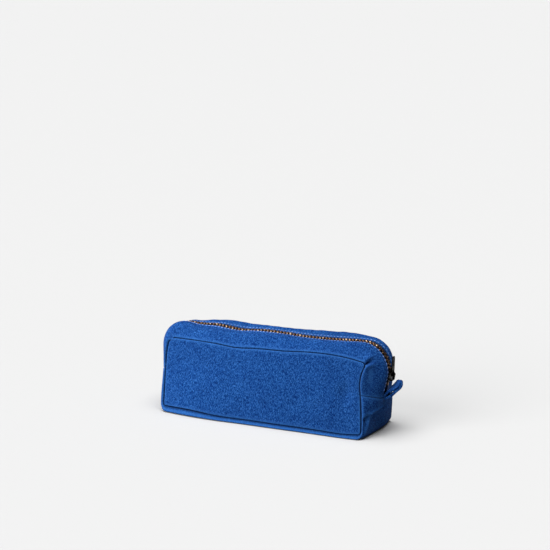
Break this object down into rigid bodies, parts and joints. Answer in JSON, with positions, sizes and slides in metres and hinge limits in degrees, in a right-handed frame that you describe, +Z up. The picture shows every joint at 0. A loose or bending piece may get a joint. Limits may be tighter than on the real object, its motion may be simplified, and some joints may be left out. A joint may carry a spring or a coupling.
{
  "type": "pencil case",
  "caption": "Soft boxy canvas pencil case with a metal zip over its top and ends, a zip slider with a pull, and a folded loop at one end.",
  "frame": {"origin": "centre of the base, on the surface that the case stands on", "axes": "+X along the case towards the end where the zip closes and the loop is sewn in, +Y from front to back, +Z up"},
  "size_m": [0.2392, 0.065, 0.0828],
  "materials": {
    "canvas": "heavy plain-weave cotton canvas, matt",
    "zip_tape": "woven zip tape, matt",
    "binding": "cotton binding tape",
    "zip_teeth": "antique copper-brown plated brass",
    "slider_metal": "dark oxidised plated die casting",
    "spring_steel": "dull spring steel"
  },
  "bodies": {
    "case": {"front_panel": "canvas", "back_panel": "canvas", "bottom_gusset": "canvas", "zip_gusset_front": "canvas", "zip_gusset_back": "canvas", "zip_tape_front": "zip_tape", "zip_tape_back": "zip_tape", "zip_teeth_front": "zip_teeth", "zip_teeth_back": "zip_teeth", "top_stop_front": "zip_teeth", "top_stop_back": "zip_teeth", "bottom_stop": "zip_teeth", "front_seam_binding": "binding", "back_seam_binding": "binding", "right_end_binding": "binding", "left_end_binding": "binding"},
    "slider": {"slider_body": "slider_metal", "slider_cap": "slider_metal", "slider_lock": "spring_steel"},
    "pull": {"slider_pull": "slider_metal"},
    "loop": {"end_loop": "canvas"}
  },
  "joints": [
    {"name": "zip_travel", "type": "hinge", "parent": "case", "child": "slider", "pos_m": [0.0883, 0, 0.0578], "axis": [0, -1, 0], "range_deg": [0, 100], "deforming": ["zip_teeth_front", "zip_teeth_back"]},
    {"name": "pull_swing", "type": "hinge", "parent": "slider", "child": "pull", "pos_m": [0.11594, 0, 0.05445], "axis": [0, 1, 0], "range_deg": [0, 100]},
    {"name": "loop_bend", "type": "hinge", "parent": "case", "child": "loop", "pos_m": [0.11106, 0, 0.034], "axis": [0, -1, 0], "range_deg": [-50, 5], "stiffness_Nm_per_rad": 0.004}
  ]
}
